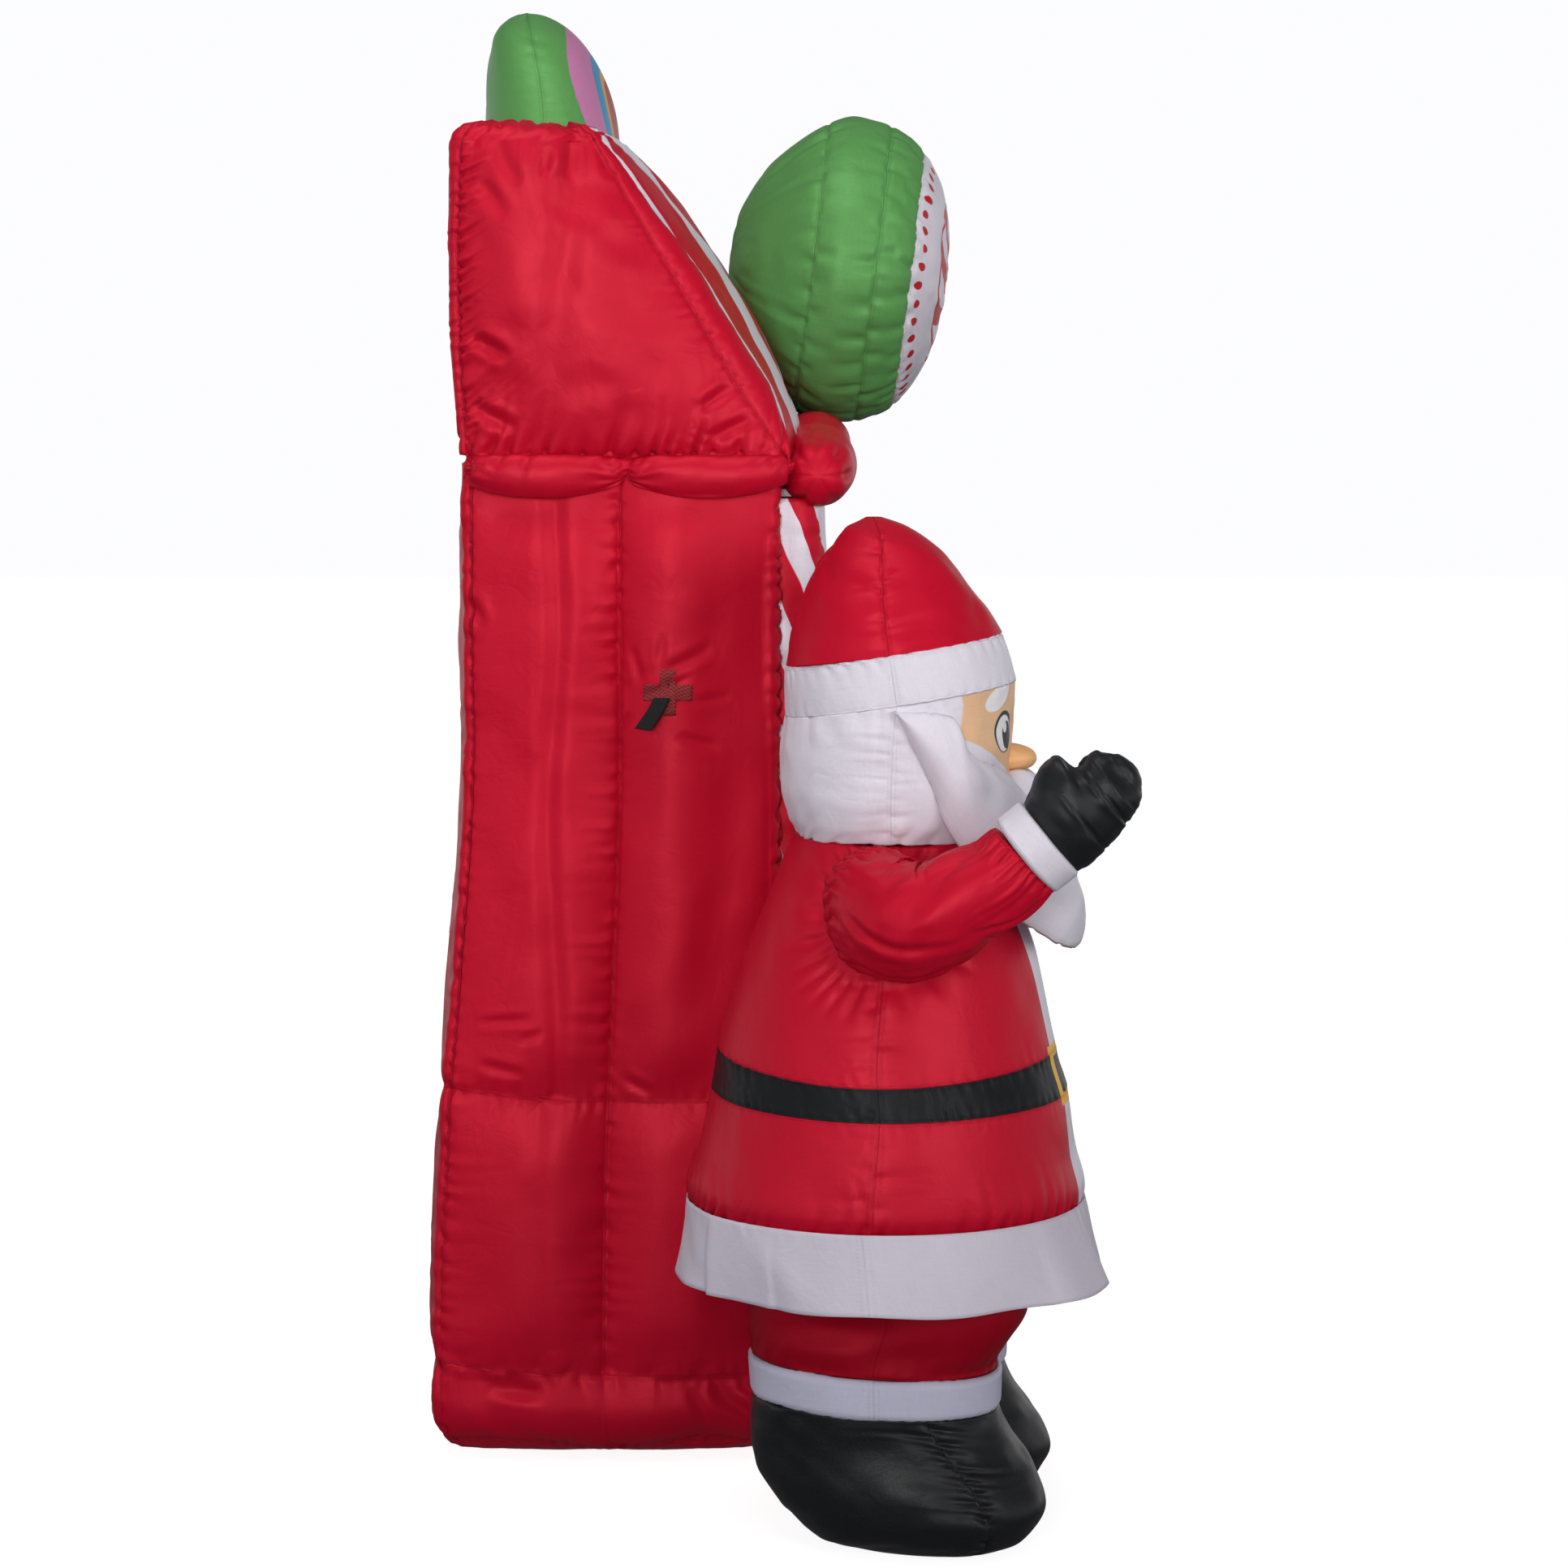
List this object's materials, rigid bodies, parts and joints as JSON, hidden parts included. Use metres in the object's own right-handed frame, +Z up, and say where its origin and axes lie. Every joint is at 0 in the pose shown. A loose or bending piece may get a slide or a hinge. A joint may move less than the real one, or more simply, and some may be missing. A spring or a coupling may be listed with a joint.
{
  "type": "inflatable santa",
  "caption": "Blow-up cloth Santa with a raised mitten, standing at the corner of a tall red blow-up shop front with a round sign, striped columns and a banded cushion on its roof.",
  "frame": {"origin": "middle of the shop's flat underside, on the ground", "axes": "+Z up, the shop's front and the Santa face -Y, the Santa stands on the -X side"},
  "size_m": [2.2145, 1.1142, 2.4305],
  "materials": {
    "red_cloth": "satin woven nylon, red",
    "trouser_cloth": "satin woven nylon, dark red",
    "white_cloth": "satin woven nylon, cool white",
    "black_cloth": "satin woven nylon, black",
    "green_cloth": "satin woven nylon, leaf green",
    "candy_cloth": "satin woven nylon, white with red slanting stripes",
    "skin_cloth": "satin woven nylon, tan"
  },
  "bodies": {
    "root": {"house_walls": "red_cloth", "house_roof": "red_cloth", "roof_candy": "green_cloth", "sign_drum": "green_cloth", "awning_roll": "red_cloth", "column_right": "candy_cloth", "column_left": "candy_cloth", "tether_patch_right": "trouser_cloth", "tether_patch_left": "trouser_cloth", "tether_strap_right": "black_cloth", "tether_strap_left": "black_cloth", "santa_coat": "red_cloth", "santa_head": "white_cloth", "hat_band": "white_cloth", "hat_crown": "red_cloth", "nose": "skin_cloth", "moustache": "white_cloth", "beard": "white_cloth", "coat_trim": "white_cloth", "sleeve_right": "red_cloth", "cuff_right": "white_cloth", "mitten_right": "black_cloth", "sleeve_left": "red_cloth", "cuff_left": "white_cloth", "mitten_left": "black_cloth", "leg_right": "trouser_cloth", "leg_left": "trouser_cloth", "boot_cuff_right": "white_cloth", "boot_cuff_left": "white_cloth", "boot_right": "black_cloth", "boot_left": "black_cloth"}
  },
  "joints": []
}
